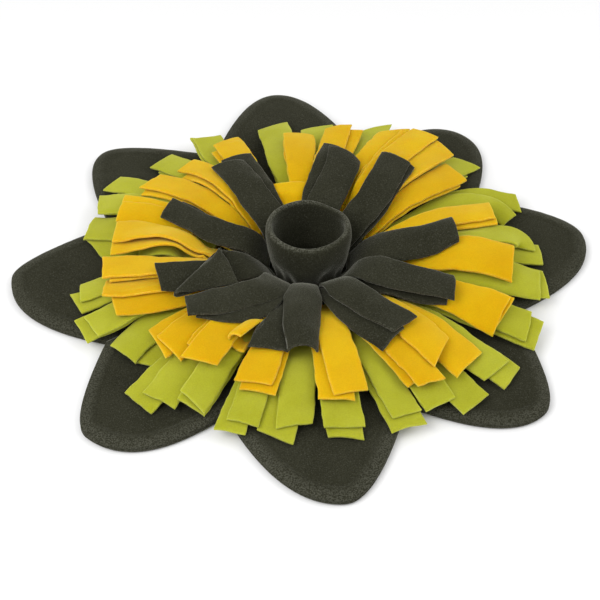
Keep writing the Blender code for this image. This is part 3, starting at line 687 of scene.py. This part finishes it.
def layerShape(ring, number, upper):
    # the middle surface of one layer. Its centre line runs straight from the root to the tip,
    # seen from above, bowed aside a little, and rises evenly plus a hump, or runs through the
    # points of its own path. Its cross section is an arc, rolled about the centre line, with
    # its edges turned down by the curl
    sizes = tuftSizes
    tuft = ring["tufts"][number]
    form = formOf(ring, number, upper)
    layer = tuft.upper if upper else tuft.lower
    width = form.get("width", layer.width) * mm
    length = layer.reach * mm - ring["outer"]
    steps = np.array(sizes["edgeSteps"])
    share = np.concatenate([np.linspace(0, 1 - sizes["edgeLead"] / length, sizes["rows"]),
                            1 - steps[::-1] / length])
    rim = 1 - steps / (width / 2)
    inside = np.linspace(-rim[-1], rim[-1], sizes["columns"] + 2)[1:-1]
    side = np.concatenate([-rim, inside, rim[::-1]])
    seed = ring["seed"] + number * 2 + int(upper)
    # chance parts of curl and roll, each between -1 and 1
    luck = softNoise(np.array([[seed * 1.37, 0.5], [seed * 2.11, 9.5]]), 1.0, 7)

    rootHeight = sizes["upperRoot"] if upper else sizes["lowerRoot"]
    if "path" in form:
        root = np.append(polar(tuft.root, ring["outer"]), rootHeight)
        rest = [np.append(polar(azimuth, radius * mm), height * mm)
                for azimuth, radius, height in form["path"]]
        centre = smoothLine([root, *rest], share)
    else:
        sway = np.radians(layer.tip - tuft.root)
        forward = ring["outer"] + (layer.reach * mm * np.cos(sway) - ring["outer"]) * share
        aside = layer.reach * mm * np.sin(sway) * share
        bow = layer.bow * 4 * share * (1 - share)
        azimuth = tuft.root + np.degrees(np.arctan2(aside, forward)) + bow
        height = rootHeight + (ring["tipHeight"] - rootHeight) * share
        height += ring["hump"] * np.sin(np.pi * share ** sizes["humpSkew"])
        centre = np.column_stack([polar(azimuth, np.hypot(aside, forward)), height])
    turn = np.radians(tuft.root)
    along = unit(np.gradient(centre, share, axis=0))
    outward = np.array([np.cos(turn), np.sin(turn), 0])
    early = (1 - smoothStep(share, *sizes["outwardRange"]))[:, None]
    along = unit(along * (1 - early) + (outward + (0, 0, 1) * along[:, 2:]) * early)
    across = sideVectors(along)
    above = np.cross(along, across)

    def alongLength(key):
        # 0 at the root, then the form's values, spread evenly and joined smoothly
        values = [0, *np.atleast_1d(form[key])]
        at = share * (len(values) - 1)
        return np.interp(smoothStep(at % 1) + at // 1, np.arange(len(values)), values)

    roll = np.radians(alongLength("roll"))
    roll += np.radians(form["rollLuck"]) * luck[1] * smoothStep(share, *sizes["rollRange"])
    cosine, sine = np.cos(roll)[:, None], np.sin(roll)[:, None]
    across, above = across * cosine + above * sine, above * cosine - across * sine
    rootHalf = np.radians(rootOf(ring, number)) * ring["outer"]
    radius = np.linalg.norm(centre[:, :2] - ringMiddle, axis=1)
    half = rootHalf + (width / 2 - rootHalf) * smoothStep(share, 0, form["fullWidthAt"])
    half = np.minimum(half, rootHalf * np.maximum(radius / ring["outer"], 0.8)
                      * form.get("spread", 1.0))
    marks = np.stack(np.meshgrid(share * length, side * width / 2, indexing="ij"), -1)
    broad, narrow = sizes["wobbleSizes"]
    wobble = softNoise(marks, broad, seed) * sizes["wobble"]
    wobble += sizes["fineWobble"] * softNoise(marks, narrow, seed + 50)
    offset = half[:, None] * side + wobble * np.abs(side) ** 6
    chance = form["curlLuck"] * luck[0] * smoothStep(share, *sizes["curlRange"])
    curl = np.radians(alongLength("curl") + chance)
    turned = curl[:, None] * side
    dip = offset * turned / 2 * np.sinc(turned / 2 / np.pi) ** 2
    flat = offset * np.sinc(turned / np.pi)
    cut = np.tan(np.radians(form.get("cut", layer.cut))) * smoothStep(share, *sizes["cutRange"])
    forward = flat * cut[:, None] + wobble * smoothStep(share, *sizes["endRange"])[:, None]
    free = smoothStep(share, *sizes["wanderRange"])[:, None]
    broad, narrow = sizes["wanderSizes"]
    wave = sizes["wander"] * softNoise(marks, broad, seed + 300) * free
    wave += sizes["fineWander"] * softNoise(marks, narrow, seed + 400) * free * np.abs(side)
    middle = (centre[:, None] + across[:, None] * flat[..., None]
              + above[:, None] * (wave - dip)[..., None] + along[:, None] * forward[..., None])
    if "slant" in form:
        # a fold askew: the strip is drawn outwards more and more towards its left edge
        angle, at, breadth = form["slant"]
        drawn = np.tan(np.radians(angle)) * flat * bell(share, at, breadth)[:, None]
        middle += outward * drawn[..., None]
    return middle


def lay(middle, below, beside):
    # lays a layer over what is there: the lift that it needs is evened out along and across
    # it again and again, sinks a little under its own weight, and never falls below the need.
    # Each row of points is drawn towards the straight line that fits it, by the stiffness
    sizes = tuftSizes
    need = below.under(middle)
    run = np.linalg.norm(middle[:, :, :2] - middle[:1, :, :2], axis=2)
    need = np.where(run > sizes["freeLength"], np.maximum(need, beside.under(middle)), need)
    need = need + sizes["gap"] + sizes["fleece"] / 2
    short = np.maximum(need - middle[..., 2], 0) * (run > sizes["heldLength"])
    lift = short.copy()
    columns = lift.shape[1]
    slope = np.linspace(-1, 1, columns)
    for turn in range(sizes["turns"]):
        even = lift.copy()
        even[1:-1] += sizes["evening"] * ((lift[:-2] + lift[2:]) / 2 - lift[1:-1])
        even[-1] = even[-2]
        mean = even.mean(axis=1, keepdims=True)
        tilt = (even * slope).sum(axis=1, keepdims=True) / (slope ** 2).sum()
        even += sizes["stiffness"] * (mean + tilt * slope - even)
        lift = np.maximum(even * (1 - sizes["weight"]), short)
        lift[0] = 0
    return middle + np.dstack([np.zeros(lift.shape + (2,)), lift])


def upperPoints(middle):
    # points of a layer's upper face, close enough together to reach every cell
    normal = surfaceNormals(middle)
    face = middle + np.abs(normal[..., 2:]) * (0, 0, tuftSizes["fleece"] / 2)
    for axis in (0, 0, 1, 1):
        # one more point between every two along this axis
        face = np.moveaxis(face, axis, 0)
        fine = np.empty((len(face) * 2 - 1, *face.shape[1:]))
        fine[::2], fine[1::2] = face, (face[1:] + face[:-1]) / 2
        face = np.moveaxis(fine, 0, axis)
    return face


def foldedStrip(lower, upper):
    # one strip from the tip of its lower layer, round the sewn fold, to the tip of its upper
    # layer: the fold is a half round between the two roots
    sizes = tuftSizes
    low, high = lower[0], upper[0]
    inward = unit(polar(0, 0) - low[:, :2])
    angle = np.radians(np.linspace(-90, 90, sizes["foldSteps"] + 2)[1:-1])[:, None]
    reach = (high[:, 2] - low[:, 2]) / 2
    height = (high[:, 2] + low[:, 2]) / 2 + reach * np.sin(angle)
    plan = low[:, :2] + inward * (reach * np.cos(angle))[..., None]
    fold = np.dstack([plan, height])
    middle = np.concatenate([lower[::-1], fold, upper])
    thin = np.ones(middle.shape[:2])
    for step, part in enumerate(sizes["edgeThickness"]):
        for rim in (thin[step], thin[-1 - step], thin[:, step], thin[:, -1 - step]):
            np.minimum(rim, part, out=rim)
    away = surfaceNormals(middle) * (sizes["fleece"] / 2 * thin)[..., None]
    spine = middle[:, middle.shape[1] // 2]
    length = np.linalg.norm(np.diff(spine, axis=0), axis=1).sum()
    # painted highlight along the thinned cut edges of each strip
    paintedHighlight = sizes["edgeHighlight"] * 2 * (1 - thin)
    return closedSheet(middle + away, middle - away), length, [paintedHighlight, paintedHighlight]


def bandStrip(ring, numbers):
    # the strip of fleece under a length of tufts: part of a flat ring
    roots = [tuft.root for tuft in ring["tufts"]]
    count = len(roots)
    before = (roots[numbers[0]] - roots[numbers[0] - 1]) % 360
    after = (roots[(numbers[-1] + 1) % count] - roots[numbers[-1]]) % 360
    gap = tuftSizes["bandGap"]
    start = roots[numbers[0]] - before / 2 + gap / 2
    end = start + (roots[numbers[-1]] - roots[numbers[0]]) % 360 + (before + after) / 2 - gap
    azimuth = np.linspace(start, end, tuftSizes["bandColumns"])[:, None]
    radius = np.linspace(ring["outer"] + tuftSizes["bandOver"], ring["inner"],
                         tuftSizes["bandRows"])[None, :]
    plan = polar(azimuth, radius)
    foot = tuftSizes["bandFoot"]
    top = foot + tuftSizes["bandThickness"]
    return closedSheet(np.dstack([plan, np.full(plan.shape[:2], top)]),
                       np.dstack([plan, np.full(plan.shape[:2], foot)]))


def layRing(ring, ground):
    # both layers of every tuft, in the ring's order of laying
    laid = {}
    beside = Ground()
    count = len(ring["tufts"])
    order = [*range(0, count, 2), *range(1, count, 2)]
    order = [number for number in order if number not in ring["late"]] + ring["late"]
    for number in order:
        own = Ground(ground.height)
        layers = []
        for upper, under in ((False, ground), (True, own)):
            layer = layerShape(ring, number, upper)
            if formOf(ring, number, upper).get("rests", True):
                layer = lay(layer, under, beside)
            own.cover(upperPoints(layer))
            layers.append(layer)
        laid[number] = layers
        beside.cover(np.concatenate([upperPoints(layer).reshape(-1, 3) for layer in layers]))
    ground.height = np.maximum(ground.height, beside.height)
    ground.soften()
    return laid


def buildFringes():
    ground = Ground()
    for ring in (greenRing, yellowRing, darkRing):
        azimuth, radius = np.meshgrid(np.arange(0, 360, 0.25),
                                      np.arange(ring["inner"], ring["outer"], 0.0005))
        plan = polar(azimuth, radius)
        ground.cover(np.dstack([plan, np.full(plan.shape[:2], tuftSizes["foldTop"])]))
    for ring in (greenRing, yellowRing, darkRing):
        laid = layRing(ring, ground)
        tufts = ring["tufts"]
        for first in range(0, len(tufts), ring["perLength"]):
            numbers = list(range(first, min(first + ring["perLength"], len(tufts))))
            sheets, lengths, paintedHighlight = zip(*[foldedStrip(*laid[number]) for number in numbers])
            band = bandStrip(ring, numbers)
            # the band under the tufts gets no painted highlight
            paintedHighlight = np.concatenate([*map(np.ravel, paintedHighlight), np.zeros(len(band[0]))])
            label = first // ring["perLength"] + 1
            piece = addPiece(f"{ring['name']}Fringe{label}", [*sheets, band], ring["material"],
                             [f"fringe_{ring['name']}_{label}"], paintedHighlight)
        print(ring["name"], "ring laid")


buildFringes()


# Cup

cupSizes = {
    "rows": 108, "columns": 160, "smoothings": 2, "foot": 0.0079,
    # (radius, height) down the outside from the rim's crown, then up the inside, in mm
    "profile": [(32.0, 57.2), (33.4, 56.8), (34.5, 55.6), (35.1, 53.6), (35.4, 50.8), (35.5, 47.5),
                (35.4, 43.5), (35.1, 39.0), (34.7, 34.0), (34.0, 29.0), (33.0, 24.0),
                (31.6, 19.5), (29.8, 15.0), (28.7, 11.0), (28.3, 7.9),
                (26.0, 7.9), (24.2, 7.9), (24.3, 11.0), (25.2, 16.0), (27.0, 21.0),
                (28.2, 26.5), (29.0, 32.0), (29.5, 37.5), (29.8, 42.5), (29.9, 47.0),
                (29.7, 51.0), (29.7, 54.0), (30.3, 56.2), (31.1, 57.0)],
    # azimuth, half breadth (degrees), push inward and drop at the rim (mm)
    "dents": [(310, 40, 2.0, 1.5), (55, 45, 1.0, 2.0), (180, 60, -0.8, -1.0)],
    # azimuth, half breadth (degrees), height, half height and depth (mm) of hollows in the wall
    "hollows": [(304, 26, 21, 10, 4.0), (228, 20, 20, 10, 2.2), (8, 26, 44, 12, -1.0),
                (262, 24, 26, 12, -1.6), (330, 16, 30, 12, -1.2)],
    "pleats": 13, "pleatDepth": 0.0011, "pleatsTo": 0.55, "outsideRange": (0.0265, 0.029),
    # uneven wall and rim: how much, size of the noise, and shares of the height it sets in at
    "wallWaves": (0.0005, 0.016, 0.1, 0.4), "rimWaves": (0.0004, 0.012, 0.6, 1),
    # height from which a painted highlight grows up to the rim's crown
    "paintedHighlightFrom": 0.0535,
}


def buildCup():
    # a profile turned about the middle: pleats deepen towards the foot, dents push the wall
    # in, and slow waves make the rim uneven
    sizes = cupSizes
    line = np.array(sizes["profile"]) * mm
    closed = np.concatenate([line, line[:1]])
    fine = pointsAt(closed, np.linspace(0, 1, sizes["rows"] + 1))[:-1]
    for turn in range(sizes["smoothings"]):
        fine = (np.roll(fine, -1, 0) + 2 * fine + np.roll(fine, 1, 0)) / 4
    fine[:, 1] = np.maximum(fine[:, 1], sizes["foot"])
    azimuth = np.arange(sizes["columns"]) * 360 / sizes["columns"]
    radius = np.repeat(fine[:, :1], sizes["columns"], axis=1)
    height = np.repeat(fine[:, 1:], sizes["columns"], axis=1)
    foot = sizes["foot"]
    rise = (height - foot) / (line[:, 1].max() - foot)
    for middle, breadth, inward, drop in sizes["dents"]:
        off = np.clip(np.abs((azimuth - middle + 180) % 360 - 180) / breadth, 0, 1)
        strength = np.cos(off * np.pi / 2) ** 2
        radius -= inward * mm * strength * rise
        height -= drop * mm * strength * rise ** 3
    for middle, breadth, level, spread, depth in sizes["hollows"]:
        off = (azimuth - middle + 180) % 360 - 180
        radius -= depth * mm * bell(off, 0, breadth) * bell(height, level * mm, spread * mm)
    turn = np.radians(azimuth)
    wave = np.sin(sizes["pleats"] * turn + 0.8 * np.sin(3 * turn))
    gather = (1 - smoothStep(rise, 0.0, sizes["pleatsTo"])) * (rise > 0)
    outside = smoothStep(radius, *sizes["outsideRange"])
    radius += sizes["pleatDepth"] * wave * gather * outside
    marks = np.dstack([polar(azimuth, radius), height])
    amount, size, *ends = sizes["wallWaves"]
    radius += amount * softNoise(marks, size, 3) * smoothStep(rise, *ends)
    amount, size, *ends = sizes["rimWaves"]
    height += amount * softNoise(marks, size, 5) * smoothStep(rise, *ends)
    points = np.dstack([polar(azimuth, radius), height]).reshape(-1, 3)
    at = np.arange(height.size).reshape(height.shape)
    faces = gridFaces(np.pad(at, (0, 1), mode="wrap"))
    # painted highlight on the rim, growing towards its crown
    paintedHighlight = smoothStep(height, sizes["paintedHighlightFrom"], line[:, 1].max())
    piece = addPiece("cupSleeve", [(points, faces)], darkFleece, ["cup"], paintedHighlight)


buildCup()
print("cup made")


# Room, light and camera

stageLook = {
    "floor": (0.88, 0.88, 0.88), "floorRoughness": 0.9,
    "floorCorners": [(-3, -3, 0), (3, -3, 0), (3, 5, 0), (-3, 5, 0)],
    "world": 0.8, "key": 13.0, "fill": 6.0,
    "keyPlace": (-0.85, -0.75, 1.1), "fillPlace": (1.1, -0.3, 0.9), "boxSide": 1.0,
    # looks down at 42.5 degrees from 1.2 m away
    "cameraPlace": (-0.002, -0.9192, 0.8107), "cameraTilt": 47.5,
    "sensor": 36, "lens": 84.96,
}


def addObject(name, data):
    thing = bpy.data.objects.new(name, data)
    bpy.context.scene.collection.objects.link(thing)
    return thing


def addStage():
    plane = bpy.data.meshes.new("floor")
    plane.from_pydata(stageLook["floorCorners"], [], [(0, 1, 2, 3)])
    paint = bpy.data.materials.new("paleFloor")
    paint.use_nodes = True
    setInputs(paint.node_tree.nodes["Principled BSDF"],
              {"Base Color": (*stageLook["floor"], 1), "Roughness": stageLook["floorRoughness"]})
    plane.materials.append(paint)
    addObject("floor", plane)


def addLight(name, place, power):
    # a square soft box at a place, turned towards the mat
    lamp = bpy.data.lights.new(name, "AREA")
    lamp.size = stageLook["boxSide"]
    lamp.energy = power
    light = addObject(name, lamp)
    light.location = place
    light.rotation_euler = Vector(place).to_track_quat("Z", "Y").to_euler()


def addWorld():
    world = bpy.data.worlds.new("softRoom")
    bpy.context.scene.world = world
    world.use_nodes = True
    setInputs(world.node_tree.nodes["Background"],
              {"Color": (1, 1, 1, 1), "Strength": stageLook["world"]})


def addCamera():
    lens = bpy.data.cameras.new("photoCamera")
    lens.sensor_width = stageLook["sensor"]
    lens.lens = stageLook["lens"]
    camera = addObject("photoCamera", lens)
    camera.location = stageLook["cameraPlace"]
    camera.rotation_euler = (np.radians(stageLook["cameraTilt"]), 0, 0)
    bpy.context.scene.camera = camera


addStage()
addWorld()
addLight("keyLight", stageLook["keyPlace"], stageLook["key"])
addLight("fillLight", stageLook["fillPlace"], stageLook["fill"])
addCamera()
bpy.context.scene.view_settings.view_transform = "Standard"

print("scene made")
